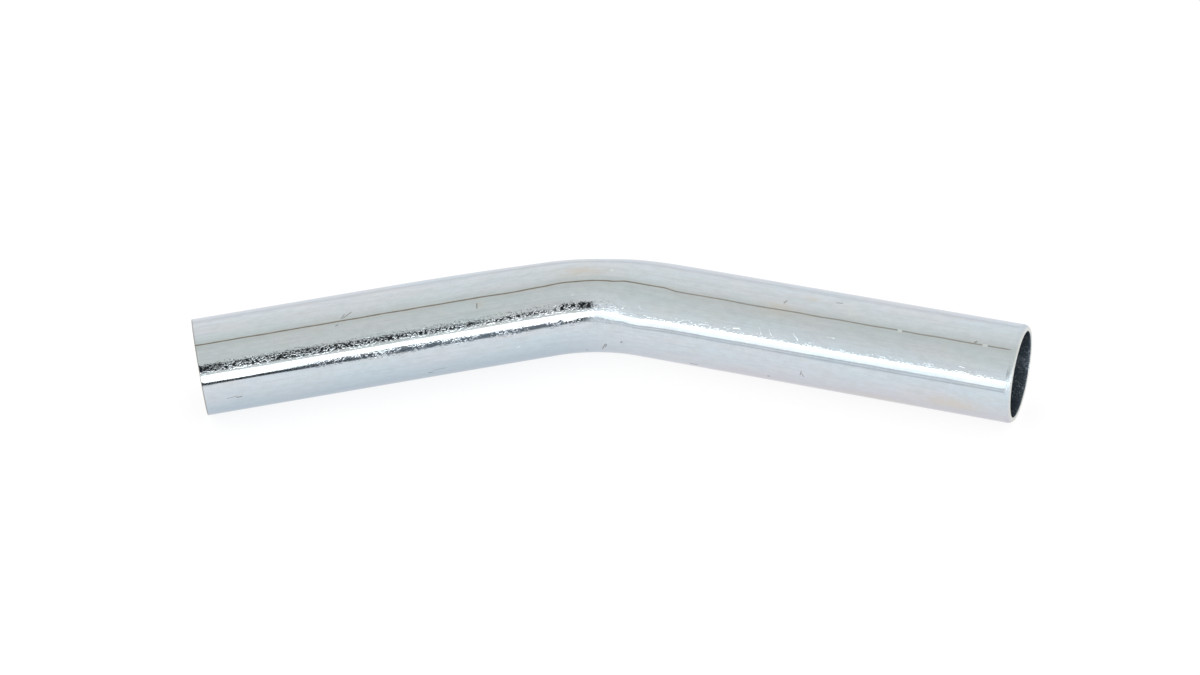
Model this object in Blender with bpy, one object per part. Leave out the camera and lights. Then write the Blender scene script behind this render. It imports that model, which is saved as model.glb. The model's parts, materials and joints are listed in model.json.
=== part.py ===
"""A plain flue elbow: one welded steel tube, cut square, cold bent once and zinc plated.

It lies flat, with the plane of the bend level and the outside of the bend towards +Y. The long leg points to +X,
and the short leg turns away from that line towards -X and -Y. The origin is under the middle of the tube's box, on
the surface that it rests on. Blender 4.5, metres, +Z up.
"""

from math import cos, exp, pi, radians, sin, tan

import bmesh
import bpy
from mathutils import Matrix, Vector

# The tube.
OUTSIDE_DIAMETER = 0.0254
WALL = 0.0016

# The bend. Each leg is measured along its centreline, from where the two centrelines cross to its end face.
BEND_ANGLE = radians(30.0)
BEND_RADIUS = 0.0487
SHORT_LEG = 0.1055
LONG_LEG = 0.1138

# What cold bending does to the wall: the back of the bend is drawn in, further along the short leg than along the
# long one, and the sides are pushed out a little.
BACK_DRAWN_IN = 0.0026
REACH_TO_SHORT_LEG = 0.0257
REACH_TO_LONG_LEG = 0.0113
SIDES_PUSHED_OUT = 0.00016

# The edges of both ends. The long end was cut with a wheel, which rolled its outer edge in, further along the tube
# than across the wall. The short end was sawn, so its outer edge is nearly sharp. Both are deburred inside.
LONG_END_EDGE_DEPTH = 0.0009
LONG_END_EDGE_LENGTH = 0.0018
SHORT_END_EDGE = 0.0002
INNER_EDGE_RADIUS = 0.0003

# The bead that the weld leaves inside, and its place round the tube, from the inside of the bend up towards +Z.
BEAD_HEIGHT = 0.0003
BEAD_WIDTH = 0.0014
BEAD_ANGLE = radians(68.0)

# How finely the tube is faceted. Past FADED reaches from the middle of the bend, a leg counts as round and straight.
SIDES = 40
EDGE_STEPS = 3
RING_SPACING = 0.004
FADED = 2.2

ZINC_COLOUR = (0.62, 0.66, 0.68, 1.0)
ZINC_ROUGHNESS = 0.28
ZINC_METALLIC = 1.0


def clear_scene():
    for obj in list(bpy.data.objects):
        bpy.data.objects.remove(obj, do_unlink=True)


def zinc_plate():
    material = bpy.data.materials.new("zinc_plate")
    material.use_nodes = True
    shader = material.node_tree.nodes["Principled BSDF"]
    shader.inputs["Base Color"].default_value = ZINC_COLOUR
    shader.inputs["Roughness"].default_value = ZINC_ROUGHNESS
    shader.inputs["Metallic"].default_value = ZINC_METALLIC
    material.diffuse_color = ZINC_COLOUR
    return material


def half_arc():
    """Length of the centreline from the middle of the bend to where a leg runs straight."""
    return BEND_RADIUS * BEND_ANGLE / 2


def end_of_leg(leg):
    """Distance along the centreline from the middle of the bend to the end face of a leg."""
    return leg - BEND_RADIUS * tan(BEND_ANGLE / 2) + half_arc()


def centreline(along):
    """The centreline's point at a distance from the middle of the bend, and the direction out of the bend there."""
    on_bend = max(-half_arc(), min(half_arc(), along))
    heading = BEND_ANGLE / 2 - on_bend / BEND_RADIUS
    forward = Vector((cos(heading), sin(heading), 0.0))
    outward = Vector((-sin(heading), cos(heading), 0.0))
    return outward * BEND_RADIUS + forward * (along - on_bend), outward


def share_of_bend(along):
    """1 at the middle of the bend, falling smoothly to 0 along each leg."""
    reach = REACH_TO_SHORT_LEG if along < 0 else REACH_TO_LONG_LEG
    return exp(-((along / reach) ** 2))


def wall_point(along, radius, angle):
    """A point of the wall. The angle runs from the inside of the bend up towards +Z, and on over the back."""
    centre, outward = centreline(along)
    out = -cos(angle)
    up = sin(angle)
    share = share_of_bend(along) * radius / (OUTSIDE_DIAMETER / 2)
    sideways = radius * out - BACK_DRAWN_IN * share * max(0.0, out)
    upwards = radius * up + SIDES_PUSHED_OUT * share * up
    return centre + outward * sideways + Vector((0.0, 0.0, upwards))


def stations():
    """Distances along the centreline that need a ring: close together where the wall changes shape."""
    first = -max(half_arc(), FADED * REACH_TO_SHORT_LEG)
    last = max(half_arc(), FADED * REACH_TO_LONG_LEG)
    first = max(first, RING_SPACING - end_of_leg(SHORT_LEG))
    last = min(last, end_of_leg(LONG_LEG) - RING_SPACING)
    steps = round((last - first) / RING_SPACING)
    return [first + (last - first) * i / steps for i in range(steps + 1)]


def end_edge(leg, away, edge_depth, edge_length):
    """(along, radius) round the rim of one end, from the outer skin to the bore."""
    outer = OUTSIDE_DIAMETER / 2
    bore = outer - WALL
    face = away * end_of_leg(leg)
    rim = []
    for i in range(EDGE_STEPS + 1):
        turn = pi / 2 * i / EDGE_STEPS
        back = edge_length * (1 - sin(turn))
        rim.append((face - away * back, outer - edge_depth * (1 - cos(turn))))
    for i in range(EDGE_STEPS + 1):
        turn = pi / 2 * i / EDGE_STEPS
        back = INNER_EDGE_RADIUS * (1 - cos(turn))
        rim.append((face - away * back, bore + INNER_EDGE_RADIUS * (1 - sin(turn))))
    return rim


def wall_outline():
    """The closed outline of the wall cut lengthways: outer skin, long end, bore, short end."""
    outer = OUTSIDE_DIAMETER / 2
    skin = [(along, outer) for along in stations()]
    bore = [(along, outer - WALL) for along in reversed(stations())]
    long_end = end_edge(LONG_LEG, 1, LONG_END_EDGE_DEPTH, LONG_END_EDGE_LENGTH)
    short_end = end_edge(SHORT_LEG, -1, SHORT_END_EDGE, SHORT_END_EDGE)
    return skin + long_end + bore + short_end[::-1]


def angles_round():
    """Evenly spaced angles round the tube, with the nearest ones moved to the foot and crest of the weld bead."""
    bore = OUTSIDE_DIAMETER / 2 - WALL
    half_foot = BEAD_WIDTH / 2 / bore
    bead = [BEAD_ANGLE - half_foot, BEAD_ANGLE, BEAD_ANGLE + half_foot]
    step = 2 * pi / SIDES
    rest = [step * i for i in range(SIDES) if abs(step * i - BEAD_ANGLE) > half_foot + step / 3]
    return sorted(rest + bead)


def tube_mesh():
    bm = bmesh.new()
    outline = wall_outline()
    angles = angles_round()
    bore = OUTSIDE_DIAMETER / 2 - WALL
    rings = []
    for along, radius in outline:
        ring = []
        for angle in angles:
            bead = BEAD_HEIGHT if angle == BEAD_ANGLE and radius <= bore else 0.0
            ring.append(bm.verts.new(wall_point(along, radius - bead, angle)))
        rings.append(ring)
    for ring, following in zip(rings, rings[1:] + rings[:1]):
        for i in range(len(angles)):
            j = (i + 1) % len(angles)
            bm.faces.new((ring[i], ring[j], following[j], following[i]))
    bmesh.ops.recalc_face_normals(bm, faces=bm.faces)
    mesh = bpy.data.meshes.new("bent_tube")
    bm.to_mesh(mesh)
    bm.free()
    mesh.shade_smooth()
    mesh.set_sharp_from_angle(angle=radians(30.0))
    return mesh


def rest_on_ground(mesh):
    """Moves the mesh so that the origin is under the middle of its box, at the surface that it lies on."""
    xs, ys, zs = zip(*(vertex.co for vertex in mesh.vertices))
    middle = Vector(((min(xs) + max(xs)) / 2, (min(ys) + max(ys)) / 2, min(zs)))
    mesh.transform(Matrix.Translation(-middle))


def build_tube():
    mesh = tube_mesh()
    rest_on_ground(mesh)
    mesh.materials.append(zinc_plate())
    tube = bpy.data.objects.new("bent_tube", mesh)
    bpy.context.scene.collection.objects.link(tube)


clear_scene()
build_tube()
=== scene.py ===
"""A plain flue elbow: one bent, zinc-plated steel tube, lying on a white light table."""

import json
from math import cos, pi, radians, sin, tan
from types import SimpleNamespace

import bpy
import numpy as np
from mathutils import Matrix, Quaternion, Vector


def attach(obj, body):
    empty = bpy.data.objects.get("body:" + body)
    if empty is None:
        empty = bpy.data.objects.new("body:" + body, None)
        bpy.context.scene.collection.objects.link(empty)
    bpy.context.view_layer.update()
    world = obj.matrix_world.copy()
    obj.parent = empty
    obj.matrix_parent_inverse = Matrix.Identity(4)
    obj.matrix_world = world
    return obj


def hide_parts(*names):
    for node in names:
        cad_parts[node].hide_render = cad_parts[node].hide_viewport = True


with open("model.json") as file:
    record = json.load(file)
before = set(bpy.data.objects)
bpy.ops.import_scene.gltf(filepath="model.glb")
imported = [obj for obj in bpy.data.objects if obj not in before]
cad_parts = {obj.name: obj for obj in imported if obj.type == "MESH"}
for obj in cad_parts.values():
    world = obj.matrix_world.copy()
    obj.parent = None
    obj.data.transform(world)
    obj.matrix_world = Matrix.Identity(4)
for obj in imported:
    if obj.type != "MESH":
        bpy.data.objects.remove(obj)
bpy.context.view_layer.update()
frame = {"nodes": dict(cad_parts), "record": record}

# ---- The tube's shape
# Strip steel, rolled and welded into a tube, then cold bent once over a former. The long end was cut with a
# wheel, which rolled its outer edge in, and the short end was sawn. Here the wall's outline is swept round
# into a straight tube, and each point of that tube is then carried to its place on the bend.


class Wire:
    """A socket in a node tree. Arithmetic on it adds Math nodes, and node() adds any other node."""

    def __init__(self, tree, socket=None):
        self.tree = tree
        self.socket = socket

    def node(self, kind, settings, sockets, output=0):
        made = self.tree.nodes.new(kind)
        for name, value in settings.items():
            setattr(made, name, value)
        for key, value in sockets.items():
            socket = self.find(made.inputs, key)
            if isinstance(value, Wire):
                self.tree.links.new(value.socket, socket)
            else:
                socket.default_value = value
        return Wire(self.tree, self.find(made.outputs, output))

    @staticmethod
    def find(sockets, key):
        if isinstance(key, int):
            return sockets[key]
        return next(s for s in sockets if key in (s.identifier, s.name) and s.enabled)

    def math(self, operation, *others):
        """A Math node that takes this value first."""
        return self.node("ShaderNodeMath", {"operation": operation}, dict(enumerate((self, *others))))

    def __add__(self, other):
        return self.math("ADD", other)

    def __sub__(self, other):
        return self.math("SUBTRACT", other)

    def __rsub__(self, other):
        return self.node("ShaderNodeMath", {"operation": "SUBTRACT"}, {0: other, 1: self})

    def __mul__(self, other):
        return self.math("MULTIPLY", other)

    def __truediv__(self, other):
        return self.math("DIVIDE", other)

    def __rtruediv__(self, other):
        return self.node("ShaderNodeMath", {"operation": "DIVIDE"}, {0: other, 1: self})

    def __neg__(self):
        return self.math("MULTIPLY", -1.0)

    def __gt__(self, other):
        return self.math("GREATER_THAN", other)

    def __lt__(self, other):
        return self.math("LESS_THAN", other)

    __radd__ = __add__
    __rmul__ = __mul__

    def at_least(self, other):
        return self.math("MAXIMUM", other)

    def at_most(self, other):
        return self.math("MINIMUM", other)

    def parts(self):
        split = self.node("ShaderNodeSeparateXYZ", {}, {0: self}).socket.node
        return [Wire(self.tree, socket) for socket in split.outputs]

    def vector(self, x, y, z):
        return self.node("ShaderNodeCombineXYZ", {}, {0: x, 1: y, 2: z})


# Points nearer to each other than this count as level, and this much of a leg is measured with its end.
LEVEL = 1e-5
MEASURED_LENGTH = 0.01


def measure_end(points, mount):
    """One end's sizes, from the solid's points and the mount on the end's flat face."""
    axis = np.array(mount["axis"], float)
    axis /= np.linalg.norm(axis)
    reach = points @ axis
    face = points[reach > reach.max() - LEVEL]
    centre = (face.min(0) + face.max(0)) / 2
    rim = np.linalg.norm(face - centre, axis=1)
    near = points[reach > reach.max() - MEASURED_LENGTH] - centre
    radius = np.linalg.norm(near - np.outer(near @ axis, axis), axis=1)
    away_from_bead = near[:, 2] < 0
    return SimpleNamespace(
        axis=axis,
        centre=centre,
        outer=radius.max(),
        bore=radius[away_from_bead].min(),
        rim_outside=rim.max(),
        rim_inside=rim.min(),
        edge_length=-(near @ axis)[radius > radius.max() - LEVEL].max(),
    )


def measure_tube(points, mounts):
    """The tube's sizes, and where its two centrelines cross."""
    short = measure_end(points, mounts["short_end"])
    long = measure_end(points, mounts["long_end"])
    across = np.array([long.axis[:2], -short.axis[:2]]).T
    long_leg, short_leg = np.linalg.solve(across, (long.centre - short.centre)[:2])
    return {
        "outer": float(long.outer),
        "wall": float(long.outer - long.bore),
        "bend": float(np.arccos(-short.axis @ long.axis)),
        "long_leg": float(long_leg),
        "short_leg": float(short_leg),
        "long_end_edge": float(long.outer - long.rim_outside),
        "long_end_edge_length": float(long.edge_length),
        "short_end_edge": float(long.outer - short.rim_outside),
        "inner_edge": float(long.rim_inside - long.bore),
        "crossing": Vector(long.centre - long.axis * long_leg),
    }


cad_points = np.array([vertex.co for vertex in frame["nodes"]["bent_tube"].data.vertices], float)
tube = measure_tube(cad_points, {mount["name"]: mount for mount in frame["record"]["mounts"]})

# What the former does: the back of the bend is drawn in, further along the short leg than along the long one,
# and the sides are pushed out.
BEND_RADIUS = 0.0487
BACK_DRAWN_IN = 0.0026
REACH_TO_SHORT_LEG = 0.0257
REACH_TO_LONG_LEG = 0.0113
SIDES_PUSHED_OUT = 0.00016

# It also leaves low bulges and hollows. For each: its place along the tube, its place round it in degrees,
# its height, its length, and its width round the tube in degrees.
RIPPLES = {
    "Hollow Before Bend": (-0.0105, 40.0, -0.00005, 0.0030, 40.0),
    "Hollow In Bend": (0.0002, 5.0, -0.0002, 0.0042, 22.0),
    "Bulge After Bend": (0.0138, 10.0, 0.0003, 0.0052, 28.0),
    "Crease In Bend": (-0.0066, 34.0, -0.00003, 0.0007, 22.0),
}

# The weld's bead inside the bore. The weld's place round the tube drifts along the short leg.
BEAD_HEIGHT = 0.0003
BEAD_WIDTH = 0.0014
WELD_ANGLE = radians(68.0)
WELD_DRIFT = radians(1.4)
WELD_DRIFTS_OVER = 0.03

# How finely the tube is made, and how far along it the stretch of the rolled edge dies away.
SIDES = 128
CUTS_ALONG = 300
EDGE_POINTS = 6
EDGE_FADE = 0.012

half_arc = BEND_RADIUS * tube["bend"] / 2
tangent = BEND_RADIUS * tan(tube["bend"] / 2)
short_end = tube["short_leg"] - tangent + half_arc
long_end = tube["long_leg"] - tangent + half_arc
middle_heading = tube["bend"] / 2
outward_at_middle = Vector((-sin(middle_heading), cos(middle_heading), 0.0))
bend_centre = tube["crossing"] - outward_at_middle * (BEND_RADIUS / cos(middle_heading))


def stored(wire, geometry, name, value, kind="FLOAT"):
    """The geometry, with a value kept at each point under a name."""
    settings = {"data_type": kind, "domain": "POINT"}
    sockets = {"Geometry": geometry, "Name": name, "Value": value}
    return wire.node("GeometryNodeStoreNamedAttribute", settings, sockets)


def recalled(wire, name):
    """The value that each point keeps under a name."""
    return wire.node("GeometryNodeInputNamedAttribute", {"data_type": "FLOAT"}, {"Name": name}, "Attribute")


def wall_outline(wire, given):
    """The wall cut lengthways, a closed curve: x runs along the tube, and y is the height over mid-wall."""
    length = given["Short End"] + given["Long End"]
    outline = wire.node(
        "GeometryNodeCurvePrimitiveQuadrilateral",
        {"mode": "RECTANGLE"},
        {"Width": length, "Height": given["Wall"]},
    )
    along, height, _ = wire.node("GeometryNodeInputPosition", {}, {}).parts()
    is_long_end = along > 0.0
    is_skin = height > 0.0
    edge = given["Long End Edge"] * is_long_end + given["Short End Edge"] * (1.0 - is_long_end)
    edge = edge * is_skin + given["Inner Edge"] * (1.0 - is_skin)
    outline = wire.node(
        "GeometryNodeFilletCurve",
        {"mode": "POLY"},
        {"Curve": outline, "Count": given["Edge Points"], "Radius": edge, "Limit Radius": True},
    )
    following = wire.node("GeometryNodeOffsetPointInCurve", {}, {"Offset": 1}, "Point Index")
    next_along = wire.node(
        "GeometryNodeFieldAtIndex", {"data_type": "FLOAT"}, {"Value": along, "Index": following}
    )
    is_long_side = (next_along - along).math("ABSOLUTE") > length / 2
    outline = wire.node(
        "GeometryNodeSubdivideCurve", {}, {"Curve": outline, "Cuts": is_long_side * given["Cuts Along"]}
    )

    # The wheel rolled the long end's edge in further along the tube than across the wall, so it is stretched.
    depth = given["Long End Edge"]
    from_end = length / 2 - along
    stretch = (given["Long End Edge Length"] / depth - 1.0) * from_end.at_most(depth)
    faded = (1.0 - (from_end - depth).at_least(0.0) / given["Edge Fade"]).at_least(0.0)
    from_bend = along - stretch * faded * is_skin + (given["Long End"] - given["Short End"]) / 2
    outline = stored(wire, outline, "along", from_bend)
    return stored(wire, outline, "from_axis", height + given["Outside Radius"] - given["Wall"] / 2)


def straight_wall(wire, given):
    """The outline carried round a circle, which closes on itself, so that the wall is one closed skin."""
    circle = wire.node(
        "GeometryNodeCurvePrimitiveCircle",
        {"mode": "RADIUS"},
        {"Resolution": given["Sides"], "Radius": given["Outside Radius"] - given["Wall"] / 2},
        "Curve",
    )
    turn = wire.node("GeometryNodeInputIndex", {}, {}) / given["Sides"] * (2 * pi)
    circle = stored(wire, circle, "turn", turn)
    outline = wall_outline(wire, given)
    return wire.node("GeometryNodeCurveToMesh", {}, {"Curve": circle, "Profile Curve": outline})


def weld_bead(given, along, radius, turn):
    """How far the weld's bead stands up from the bore."""
    # The bore's skin is half a wall below mid-wall, and 0.49 leaves room for rounding.
    mid_wall = given["Outside Radius"] - given["Wall"] / 2
    in_bore = radius < mid_wall - given["Wall"] * 0.49
    weld = given["Weld Angle"] - given["Weld Drift"] * (along / -WELD_DRIFTS_OVER).at_least(0.0).at_most(1.0)
    from_weld = (turn - weld) * radius / (given["Bead Width"] / 2)
    return given["Bead Height"] * in_bore * (1.0 - from_weld * from_weld).at_least(0.0)


def bent_place(wire, given, along, radius, turn):
    """Where a point of the straight tube goes on the bend, where the back of the wall is drawn in."""
    outward = -turn.math("COSINE")
    upward = turn.math("SINE")
    half_arc = given["Bend Radius"] * given["Bend Angle"] / 2
    on_bend = along.at_least(-half_arc).at_most(half_arc)
    heading = given["Bend Angle"] / 2 - on_bend / given["Bend Radius"]
    is_short = along < 0.0
    from_middle = along / (given["Reach Short"] * is_short + given["Reach Long"] * (1.0 - is_short))
    share = (-(from_middle * from_middle)).math("EXPONENT") / given["Outside Radius"] * radius
    drawn = given["Drawn In"] * share * outward.at_least(0.0)
    out = radius * outward - drawn + given["Bend Radius"]
    up = radius * upward + given["Pushed Out"] * share * upward
    forward = along - on_bend
    sine = heading.math("SINE")
    cosine = heading.math("COSINE")
    bent = wire.vector(forward * cosine - out * sine, forward * sine + out * cosine, up)
    return wire.node("ShaderNodeVectorMath", {"operation": "ADD"}, {0: bent, 1: given["Bend Centre"]})


def tube_tree(sizes, whole_numbers):
    """The node tree that makes the tube, and the identifier of each of its inputs."""
    tree = bpy.data.node_groups.new("bent_tube", "GeometryNodeTree")
    tree.interface.new_socket("Geometry", in_out="OUTPUT", socket_type="NodeSocketGeometry")
    kinds = {name: "NodeSocketFloat" for name in sizes}
    kinds |= {name: "NodeSocketInt" for name in whole_numbers}
    kinds |= {"Bend Centre": "NodeSocketVector", "Material": "NodeSocketMaterial"}
    identifiers = {}
    for name, kind in kinds.items():
        identifiers[name] = tree.interface.new_socket(name, in_out="INPUT", socket_type=kind).identifier
    wire = Wire(tree)
    group = tree.nodes.new("NodeGroupInput")
    given = {name: Wire(tree, group.outputs[name]) for name in kinds}

    wall = straight_wall(wire, given)
    along, radius, turn = (recalled(wire, name) for name in ("along", "from_axis", "turn"))
    straight = wire.vector(along, -turn.math("COSINE") * radius, turn.math("SINE") * radius)
    wall = stored(wire, wall, "straight", straight, "FLOAT_VECTOR")
    radius = radius - weld_bead(given, along, radius, turn)
    for name, (middle, side, _, length, width) in RIPPLES.items():
        from_middle = (along - middle) / length
        from_side = (turn - radians(side)) / radians(width)
        fall = -(from_middle * from_middle) - from_side * from_side
        radius = radius + given[name] * fall.math("EXPONENT")
    bent = bent_place(wire, given, along, radius, turn)
    wall = wire.node("GeometryNodeSetPosition", {}, {"Geometry": wall, "Position": bent})
    wall = wire.node("GeometryNodeFlipFaces", {}, {"Mesh": wall})
    wall = wire.node("GeometryNodeSetShadeSmooth", {}, {"Geometry": wall, "Shade Smooth": True})
    wall = wire.node("GeometryNodeRealizeInstances", {}, {"Geometry": wall})
    wall = wire.node("GeometryNodeSetMaterial", {}, {"Geometry": wall, "Material": given["Material"]})
    result = tree.nodes.new("NodeGroupOutput")
    tree.links.new(wall.socket, result.inputs[0])
    return tree, identifiers


def plain_mesh(name, tree, identifiers, values):
    """A new object with the plain mesh that a node tree makes from these inputs."""
    maker = bpy.data.objects.new(name + "_maker", bpy.data.meshes.new(name + "_maker"))
    bpy.context.scene.collection.objects.link(maker)
    modifier = maker.modifiers.new("nodes", "NODES")
    modifier.node_group = tree
    for key, value in values.items():
        modifier[identifiers[key]] = value
    graph = bpy.context.evaluated_depsgraph_get()
    mesh = bpy.data.meshes.new_from_object(maker.evaluated_get(graph), depsgraph=graph)
    mesh.name = name
    bpy.data.objects.remove(maker)
    made = bpy.data.objects.new(name, mesh)
    bpy.context.scene.collection.objects.link(made)
    return made


# ---- The zinc plate
# Bright zinc, a few thousandths of a millimetre thick, over the steel. It keeps the fine lines that the rolls
# drew along the tube, small pits and nicks from handling, and the weld as a thin dark line. The bore takes
# little zinc and stays dark. The tube's underside is darkened with painted shade.

# Places on the plating are in millimetres, on the tube before it is bent.
MM = 1000
OUTER = tube["outer"] * MM
BORE = OUTER - tube["wall"] * MM
LONG_END = long_end * MM
SHORT_END = short_end * MM
BRIGHT_ZINC = (0.595, 0.682, 0.738)
STRAW_ZINC = (0.66, 0.665, 0.64)
ROSE_ZINC = (0.655, 0.662, 0.705)
BLUE_ZINC = (0.53, 0.60, 0.675)
GREY_ZINC = (0.51, 0.56, 0.585)
# The next two colours are painted shade for the tube's underside, not colours of the plating.
PAINTED_SHADE_BLUE_ZINC = (0.39, 0.48, 0.555)
PAINTED_SHADE_PINK_ZINC = (0.585, 0.56, 0.60)
WELD_LINE = (0.20, 0.175, 0.14)
BESIDE_WELD = (0.47, 0.50, 0.49)
PEACH_STAIN = (0.62, 0.57, 0.50)
SCRATCH = (0.16, 0.14, 0.13)
BRIGHT_DENT = (0.75, 0.8, 0.83)
BORE_STEEL = (0.12, 0.16, 0.20)
BORE_FLECK = (0.56, 0.62, 0.66)
ROLLED_EDGE = (0.76, 0.76, 0.69)
SAWN_EDGE = (0.24, 0.20, 0.15)

# Where the plating is stained: along, round the tube in degrees, length, width, share.
STAINS = (
    (-3.5, 82.0, 16.0, 3.4, 0.6),
    (-31.0, 58.0, 3.0, 2.2, 0.35),
    (51.7, 70.0, 9.0, 4.2, 0.45),
    (99.2, -12.0, 17.0, 5.0, 0.7),
    (79.2, -32.0, 26.0, 3.4, 0.7),
    (58.9, 92.0, 5.0, 2.0, 0.4),
)

# Scratches and nicks through the plating: along, round the tube in degrees, length, width, tilt in degrees.
SCRATCHES = (
    (-96.2, -6.5, 1.7, 0.45, 6.0),
    (-98.0, -5.0, 3.0, 0.22, 4.0),
    (-46.5, -24.0, 1.4, 0.5, 0.0),
    (-44.0, -19.0, 4.0, 0.2, 3.0),
    (-65.4, 73.0, 3.2, 0.3, 31.0),
    (-66.6, 72.0, 2.0, 0.26, 50.0),
    (-68.5, 62.0, 0.9, 0.3, 20.0),
    (-32.1, 56.5, 1.6, 0.4, 80.0),
    (-2.8, -31.0, 0.9, 0.8, 0.0),
    (3.2, -21.0, 3.6, 0.5, 62.0),
    (4.1, -18.0, 2.0, 0.4, 70.0),
    (9.9, -8.0, 0.9, 0.6, 30.0),
    (29.7, -30.0, 2.4, 0.7, 0.0),
    (65.9, 93.0, 1.8, 0.4, 4.0),
    (52.4, 80.0, 1.3, 0.4, 60.0),
    (50.2, -25.0, 0.8, 0.6, 0.0),
    (59.2, -6.0, 1.8, 0.3, 75.0),
    (59.7, -9.0, 1.4, 0.3, 110.0),
    (102.7, 70.5, 0.9, 0.5, 30.0),
)

# Small bright dents, given in the same way.
DENTS = (
    (-6.0, 51.5, 0.9, 0.8, 0.0),
    (-11.1, 37.0, 1.0, 0.8, 0.0),
    (10.5, 39.0, 1.6, 0.5, 40.0),
    (5.0, 84.0, 1.0, 0.9, 0.0),
    (-23.0, -3.0, 1.0, 0.6, 20.0),
    (15.2, 42.0, 1.3, 0.4, 130.0),
    (41.5, 38.0, 2.0, 0.5, 10.0),
    (47.8, 40.0, 2.2, 0.3, 118.0),
    (50.5, 40.0, 2.0, 0.3, 122.0),
    (57.2, 40.0, 2.4, 0.3, 135.0),
    (66.3, 46.0, 2.4, 0.4, 4.0),
    (83.2, 67.6, 1.2, 0.9, 0.0),
    (92.7, 36.0, 1.6, 0.28, 6.0),
    (100.7, 39.0, 1.8, 0.28, -4.0),
    (105.2, 67.8, 1.4, 0.8, 0.0),
)


def clamped(value):
    return value.at_least(0.0).at_most(1.0)


def band(value, low, high, soft):
    """1 between two values, falling to 0 over a soft edge outside each."""
    return clamped((value - low) / soft + 1.0) * clamped((high - value) / soft + 1.0)


def spread(value, low, high):
    """A value stretched so that low becomes 0 and high becomes 1."""
    return clamped((value - low) / (high - low))


def noise(x, y, z, detail=3.0, roughness=0.55):
    """A noise from 0 to 1 at a place."""
    sockets = {"Vector": x.vector(x, y, z), "Scale": 1.0, "Detail": detail, "Roughness": roughness}
    return x.node("ShaderNodeTexNoise", {"noise_dimensions": "3D"}, sockets, "Fac")


def tinted(share, colour, other):
    """A colour, turned towards another by a share from 0 to 1."""
    sockets = {
        "Factor_Float": share,
        "A_Color": colour if isinstance(colour, Wire) else (*colour, 1.0),
        "B_Color": other if isinstance(other, Wire) else (*other, 1.0),
    }
    return share.node("ShaderNodeMix", {"data_type": "RGBA"}, sockets, "Result_Color")


def stain(at, middle, turn, length, width, share):
    """A soft patch: its full share in the middle, fading outwards."""
    x = (at.along - middle) / (length / 2)
    y = (at.around - radians(turn) * OUTER) / (width / 2)
    far = x * x + y * y
    return (far * -1.2).math("EXPONENT") * share


def mark(at, middle, turn, length, width, tilt):
    """A scratch or dent: 1 at its middle line and 0 at its outline."""
    x = at.along - middle
    y = at.around - radians(turn) * OUTER
    lengthways = (x * cos(radians(tilt)) + y * sin(radians(tilt))) / (length / 2)
    across = (y * cos(radians(tilt)) - x * sin(radians(tilt))) / (width / 2)
    return clamped((1.0 - lengthways * lengthways) * 3.0) * clamped(1.0 - across * across)


def strongest(marks):
    """The strongest of several marks at each place."""
    most = marks[0]
    for other in marks[1:]:
        most = most.at_least(other)
    return most


def place_on_tube(wire):
    """A point's place on the straight tube, and which part of the wall it is on."""
    straight = wire.node("ShaderNodeAttribute", {"attribute_name": "straight"}, {}, "Vector")
    straight = wire.node("ShaderNodeVectorMath", {"operation": "SCALE"}, {0: straight, "Scale": MM})
    at = SimpleNamespace()
    at.along, at.out, at.up = straight.parts()
    angle = at.up.math("ARCTAN2", -at.out)
    radius = (at.out * at.out + at.up * at.up).math("SQRT")
    at.around = angle * OUTER
    at.turn = angle * (180 / pi)
    at.in_bore = band(radius, 0.0, BORE + 0.03, 0.04)
    at.off_bore = 1.0 - at.in_bore
    at.rolled = band(radius, BORE + 0.08, OUTER - 0.05, 0.04)
    at.on_edge = at.rolled * clamped((OUTER - 0.3 - radius) / 0.4)
    at.sawn = spread(at.along, 0.4 - SHORT_END, 0.1 - SHORT_END) * at.off_bore
    return at


def add_patterns(at):
    """Lines drawn along the tube, the plating's grain and pits, and the slow waviness of rolled strip."""
    at.lines = noise(at.along / 18.0, at.out / 0.42, at.up / 0.42, 3.0, 0.6)
    at.fine_lines = noise(at.along / 7.0, at.out / 0.2, at.up / 0.2, 2.0)
    at.grain = noise(at.along / 0.6, at.out / 0.32, at.up / 0.32, 2.0, 0.5)
    at.waves = noise(at.along / 26.0, at.out / 6.0, at.up / 6.0, 1.0)
    at.mottle = noise(at.along / 2.6, at.out / 1.3, at.up / 1.3, 3.0)
    at.clouds = noise(at.along / 22.0 + 7.0, at.out / 5.0, at.up / 5.0, 3.0)
    at.patches = noise(at.along / 9.0, at.out / 6.0 + 19.0, at.up / 6.0, 2.0)
    at.pits = spread(noise(at.along / 0.75 + 31.0, at.out / 0.45, at.up / 0.45, 1.0), 0.49, 0.62)


def scuffed(at):
    """How closely the plating is pitted, in strips along the tube that end short of the long end."""
    pitted = spread(noise(at.along / 7.0, at.out / 4.0, at.up / 4.0 + 11.0, 1.0), 0.35, 0.6)
    on_short_leg = band(at.turn, 34.0, 43.0, 3.0) * (0.4 + 0.6 * pitted) * spread(at.along, 12.0, 4.0)
    on_long_leg = band(at.turn, 32.0, 46.0, 3.0) * (0.25 + 0.3 * pitted) * spread(at.along, 0.0, 12.0)
    low_down = band(at.turn, 15.0, 26.0, 3.0) * pitted * band(at.along, -60.0, -5.0, 25.0) * 0.6
    return (on_short_leg + on_long_leg + low_down) * spread(at.along, LONG_END - 1.0, LONG_END - 5.0)


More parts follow.
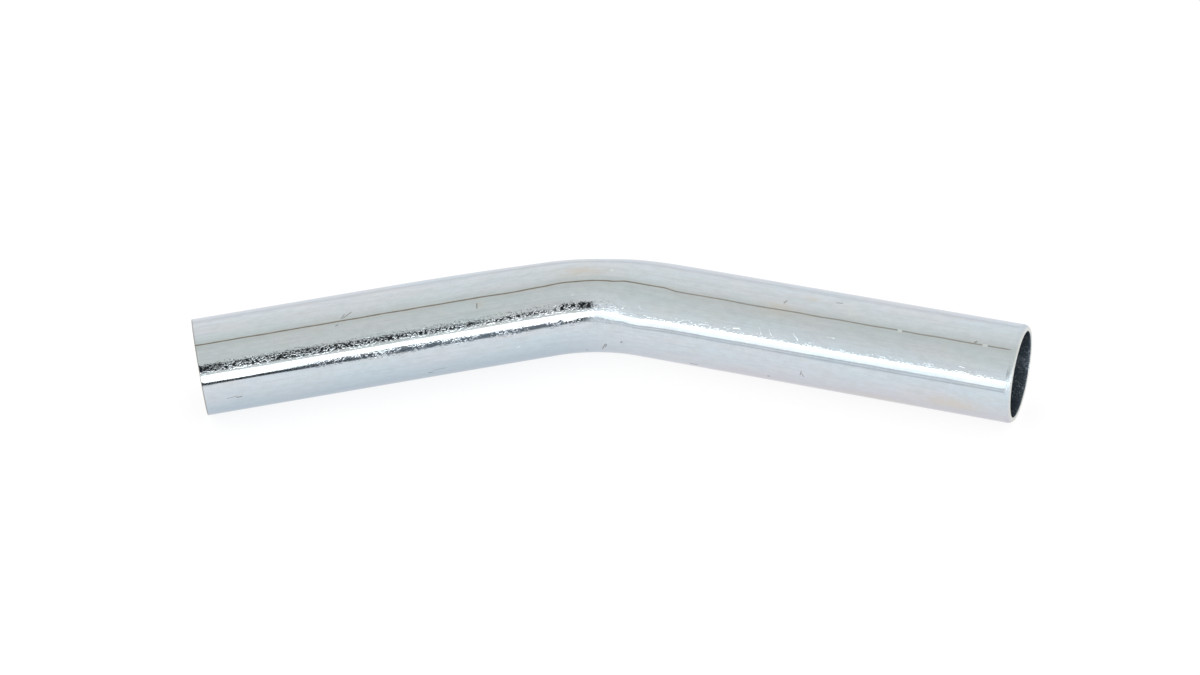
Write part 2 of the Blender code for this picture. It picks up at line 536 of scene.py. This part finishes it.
def add_weld(at, dents):
    """The weld line, which wanders a little and is broken in places, and the duller strip along it."""
    wander = (noise(at.along / 13.0, 3.0, 5.0, 1.0) - 0.5) * 0.5
    shifted = 0.45 * band(at.along, 9.0, 20.5, 3.0) - 0.25 * band(at.along, -24.0, -14.0, 6.0)
    drift = WELD_DRIFT * clamped(at.along / (-WELD_DRIFTS_OVER * MM))
    from_weld = (at.around - ((WELD_ANGLE - drift) * OUTER + wander + shifted)).math("ABSOLUTE")
    width = 0.10 + 0.16 * noise(at.along / 3.0, 8.0, 1.0, 2.0)
    whole = spread(noise(at.along / 2.3, 1.0, 9.0, 1.0), 0.27, 0.33)
    weld = clamped((width - from_weld) / 0.1 + 0.5) * whole * at.off_bore
    weld = weld * (1.0 - clamped(dents * 3.0)) * spread(at.along, LONG_END - 1.2, LONG_END - 2.4)
    at.weld = weld * (1.0 - 0.25 * spread(at.along, 10.0, 30.0))
    at.beside_weld = clamped(1.0 - from_weld / 2.0) * at.off_bore


def plating_colour_and_painted_shade(at):
    """The thin colours of the plating's passivation, which differ from place to place, with painted shade on
    the underside: dull blue along the short leg and pink along the long leg.
    """
    colour = tinted(spread(at.clouds, 0.35, 0.7) * 0.8, BRIGHT_ZINC, ROSE_ZINC)
    colour = tinted(spread(at.patches, 0.5, 0.75) * 0.35, colour, STRAW_ZINC)
    colour = tinted(spread(at.lines, 0.45, 0.7) * 0.7, colour, BLUE_ZINC)
    colour = tinted(spread(at.mottle, 0.4, 0.7) * 0.45, colour, GREY_ZINC)
    colour = tinted(spread(at.grain, 0.45, 0.75) * 0.25, colour, GREY_ZINC)
    # Painted shade: the lower side of the tube is darkened, towards dull blue on the short leg and towards
    # pink on the long leg.
    painted_underside_shade = spread(at.up / OUTER, 0.15, -0.78) * at.off_bore
    colour = tinted(painted_underside_shade * spread(at.along, 25.0, -15.0), colour, PAINTED_SHADE_BLUE_ZINC)
    return tinted(painted_underside_shade * spread(at.along, -5.0, 40.0) * 0.85, colour, PAINTED_SHADE_PINK_ZINC)


def bore_colour(at):
    """Dark steel with light flecks of zinc."""
    flecks = spread(noise(at.along / 0.5, at.out / 0.35, at.up / 0.35, 2.0), 0.5, 0.66)
    return tinted(flecks * spread(at.patches, 0.35, 0.65), BORE_STEEL, BORE_FLECK)


def zinc_plate():
    material = bpy.data.materials.new("zinc_plate")
    material.use_nodes = True
    tree = material.node_tree
    shader = tree.nodes["Principled BSDF"]
    at = place_on_tube(Wire(tree))
    add_patterns(at)
    stains = strongest([stain(at, *place) for place in STAINS])
    scratches = strongest([mark(at, *scratch) for scratch in SCRATCHES])
    dents = strongest([mark(at, *dent) for dent in DENTS]) * spread(at.mottle, 0.2, 0.5)
    add_weld(at, dents)

    colour = tinted(at.beside_weld * 0.4, plating_colour_and_painted_shade(at), BESIDE_WELD)
    colour = tinted(stains * spread(at.mottle, 0.2, 0.55), colour, PEACH_STAIN)
    colour = tinted(at.weld * 0.9, colour, WELD_LINE)
    colour = tinted(clamped(scratches * 1.3) * at.off_bore * 0.65, colour, SCRATCH)
    colour = tinted(clamped(dents * 2.0) * at.off_bore * 0.5, colour, BRIGHT_DENT)
    colour = tinted(at.in_bore, colour, bore_colour(at))
    colour = tinted(at.on_edge * 0.7, colour, ROLLED_EDGE)
    colour = tinted(at.sawn * 0.75, colour, SAWN_EDGE)
    tree.links.new(colour.socket, shader.inputs["Base Color"])

    roughness = 0.06 + 0.03 * spread(at.grain, 0.35, 0.7) + 0.04 * spread(at.lines, 0.4, 0.75)
    roughness = roughness + 0.3 * at.weld + 0.06 * at.beside_weld + 0.3 * at.in_bore + 0.3 * at.rolled
    tree.links.new(roughness.socket, shader.inputs["Roughness"])
    shader.inputs["Metallic"].default_value = 1.0
    shader.inputs["Specular Tint"].default_value = (0.88, 0.88, 0.9, 1.0)

    # Heights are in metres.
    height = at.lines * 3.0e-6 + at.fine_lines * 1.0e-6 + at.grain * 2.0e-6
    height = height + at.pits * scuffed(at) * 2.4e-5
    height = height + at.waves * 5.0e-5 - at.weld * 3.0e-5 + dents * 2.6e-5
    bump = height.node("ShaderNodeBump", {}, {"Height": height, "Strength": 1.0, "Distance": 1.0}, "Normal")
    tree.links.new(bump.socket, shader.inputs["Normal"])
    return material


# The tube itself, made to its sizes and plated.
sizes = {
    "Outside Radius": tube["outer"],
    "Wall": tube["wall"],
    "Short End": short_end,
    "Long End": long_end,
    "Long End Edge": tube["long_end_edge"],
    "Long End Edge Length": tube["long_end_edge_length"],
    "Short End Edge": tube["short_end_edge"],
    "Inner Edge": tube["inner_edge"],
    "Edge Fade": EDGE_FADE,
    "Bend Radius": BEND_RADIUS,
    "Bend Angle": tube["bend"],
    "Drawn In": BACK_DRAWN_IN,
    "Reach Short": REACH_TO_SHORT_LEG,
    "Reach Long": REACH_TO_LONG_LEG,
    "Pushed Out": SIDES_PUSHED_OUT,
    "Bead Height": BEAD_HEIGHT,
    "Bead Width": BEAD_WIDTH,
    "Weld Angle": WELD_ANGLE,
    "Weld Drift": WELD_DRIFT,
}
sizes |= {name: height for name, (_, _, height, _, _) in RIPPLES.items()}
whole_numbers = {"Sides": SIDES, "Cuts Along": CUTS_ALONG, "Edge Points": EDGE_POINTS}
tree, identifiers = tube_tree(sizes, whole_numbers)
values = {**sizes, **whole_numbers, "Bend Centre": bend_centre, "Material": zinc_plate()}
bent_tube = plain_mesh("bent_tube_skin", tree, identifiers, values)
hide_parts("bent_tube")
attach(bent_tube, "root")

# ---- The light table
# A wide white table that glows a little, so that only a faint shadow shows round the tube. Its front edge is
# close to the tube, and square to the line that halves the bend.

TABLE_WIDTH = 8.0
TABLE_FRONT = 0.10
TABLE_BACK = 4.0
TABLE_WHITE = (0.22, 0.22, 0.22, 1.0)
TABLE_GLOW = 0.83


def table_white():
    material = bpy.data.materials.new("table_white")
    material.use_nodes = True
    shader = material.node_tree.nodes["Principled BSDF"]
    shader.inputs["Base Color"].default_value = TABLE_WHITE
    shader.inputs["Roughness"].default_value = 0.9
    shader.inputs["Specular IOR Level"].default_value = 0.0
    shader.inputs["Emission Color"].default_value = (1.0, 1.0, 1.0, 1.0)
    shader.inputs["Emission Strength"].default_value = TABLE_GLOW
    return material


mesh = bpy.data.meshes.new("table")
left, right = -TABLE_WIDTH / 2, TABLE_WIDTH / 2
front, rear = -TABLE_FRONT, TABLE_BACK
corners = [(left, front, 0.0), (right, front, 0.0), (right, rear, 0.0), (left, rear, 0.0)]
mesh.from_pydata(corners, [], [(0, 1, 2, 3)])
mesh.materials.append(table_white())
table = bpy.data.objects.new("table", mesh)
table.rotation_euler.z = tube["bend"] / 2
bpy.context.scene.collection.objects.link(table)

# ---- The light tent
# A dome of white cloth round the table, seen only in reflections. A long lamp stands low in front of it, a
# dark gap runs below the lamp, and a dark card hangs above the lamp's right half.

TENT_RADIUS = 3.0
LAMP = (3.4, 3.4, 3.4)
DIM_LAMP = (1.55, 1.55, 1.55)
CARD = (0.02, 0.022, 0.025)


def tent_cloth():
    """Places are in degrees: rise goes up from the front and over to the back, and side goes to the right."""
    material = bpy.data.materials.new("tent_cloth")
    material.use_nodes = True
    tree = material.node_tree
    x, y, z = Wire(tree).node("ShaderNodeTexCoord", {}, {}, "Object").parts()
    rise = z.math("ARCTAN2", -y) * (180 / pi)
    side = x.math("ARCTAN2", y.math("ABSOLUTE")) * (180 / pi)
    left = spread(side, 6.0, -10.0)

    # In front the cloth is a little grey and warm, except low on the left. It is brighter towards the back.
    colour = tinted(left * spread(rise, 75.0, 33.0), (0.85, 0.845, 0.80), (1.0, 1.0, 0.985))
    colour = tinted(spread(rise, 90.0, 125.0), colour, (1.0, 0.98, 0.95))
    colour = tinted(spread(rise, 135.0, 155.0), colour, (1.07, 1.05, 1.03))
    colour = tinted(band(rise, 170.0, 185.0, 8.0) * 0.3, colour, (0.7, 0.7, 0.72))

    # The lamp's edges are uneven. It is narrower in the middle and to the right, and dimmer low on the left.
    in_middle = band(side, -14.0, 4.0, 8.0)
    lamp_low = 2.5 + 8.0 * spread(side, 13.2, 14.6) - 5.0 * spread(side, 17.0, 18.4) + 4.0 * in_middle
    lamp_low = lamp_low - 1.4 * left + 2.2 * spread(side, -10.0, -22.0)
    lamp_high = 20.5 - 1.5 * spread(side, -22.0, -8.0) - 1.5 * in_middle
    lamp = tinted(left * spread(rise, 15.5, 12.5), LAMP, DIM_LAMP)
    colour = tinted(band(rise, lamp_low, lamp_high, 1.0), colour, lamp)

    # The card tapers towards its right end.
    card_low = 27.5 + 0.45 * (side - 13.0).at_least(0.0)
    card_high = 43.0 - 0.7 * (side - 13.0).at_least(0.0)
    card = band(side, -8.0, 21.5, 1.0) * band(rise, card_low, card_high, 1.0)
    colour = tinted(card, colour, CARD)

    # The gap is dark on the right. On the left it is pale, with a paler strip in it.
    gap = tinted(spread(side, 13.8, 16.8), (0.03, 0.035, 0.04), (0.18, 0.21, 0.24))
    left_gap = tinted(spread(side, -8.0, -18.0), (0.87, 0.88, 0.91), (0.69, 0.70, 0.72))
    gap = tinted(left, gap, left_gap)
    gap = tinted(left * band(rise, -4.6, -1.0, 0.5), gap, (0.93, 0.94, 0.96))
    gap_low = -4.0 - 2.0 * spread(side, 13.2, 15.0) - 4.0 * left
    colour = tinted(spread(rise, lamp_low - 0.5, lamp_low - 1.5), colour, gap)
    below_gap = tinted(left, (1.05, 1.05, 1.05), (1.11, 1.10, 1.10))
    colour = tinted(spread(rise, gap_low, gap_low - 1.0), colour, below_gap)

    shader = tree.nodes["Principled BSDF"]
    shader.inputs["Base Color"].default_value = (0.0, 0.0, 0.0, 1.0)
    shader.inputs["Specular IOR Level"].default_value = 0.0
    shader.inputs["Emission Strength"].default_value = 1.0
    tree.links.new(colour.socket, shader.inputs["Emission Color"])
    return material


bpy.ops.mesh.primitive_uv_sphere_add(segments=96, ring_count=48, radius=TENT_RADIUS)
tent = bpy.context.object
tent.name = "tent"
tent.rotation_euler.z = tube["bend"] / 2
tent.data.materials.append(tent_cloth())
tent.visible_camera = False
tent.visible_diffuse = False
tent.visible_shadow = False
tent.visible_transmission = False

# ---- The room
# Plain white walls beyond the table and the tent, a little brighter than white paper.

ROOM_STRENGTH = 1.02

room = bpy.data.worlds.new("white_room")
room.use_nodes = True
background = room.node_tree.nodes["Background"]
background.inputs["Color"].default_value = (1.0, 1.0, 1.0, 1.0)
background.inputs["Strength"].default_value = ROOM_STRENGTH
bpy.context.scene.world = room
bpy.context.scene.view_settings.view_transform = "Standard"

# ---- The camera
# It stands in front of the tube and to its right, looks down at it, and is tilted a little. It aims near the
# place where the two legs' centrelines cross.

AZIMUTH = radians(22.65)
ELEVATION = radians(40.57)
DISTANCE = 0.8077
AIM = Vector((0.00574, -0.0143, 0.0))
ROLL = radians(4.95)
LENS = 93.31
SENSOR_WIDTH = 36.0

back = Vector((sin(AZIMUTH) * cos(ELEVATION), -cos(AZIMUTH) * cos(ELEVATION), sin(ELEVATION)))
camera = bpy.data.objects.new("camera", bpy.data.cameras.new("camera"))
camera.data.lens = LENS
camera.data.sensor_width = SENSOR_WIDTH
camera.data.clip_start = 0.01
camera.location = tube["crossing"] + AIM + back * DISTANCE
camera.rotation_mode = "QUATERNION"
camera.rotation_quaternion = (-back).to_track_quat("-Z", "Y") @ Quaternion((0.0, 0.0, 1.0), -ROLL)
bpy.context.scene.collection.objects.link(camera)
bpy.context.scene.camera = camera
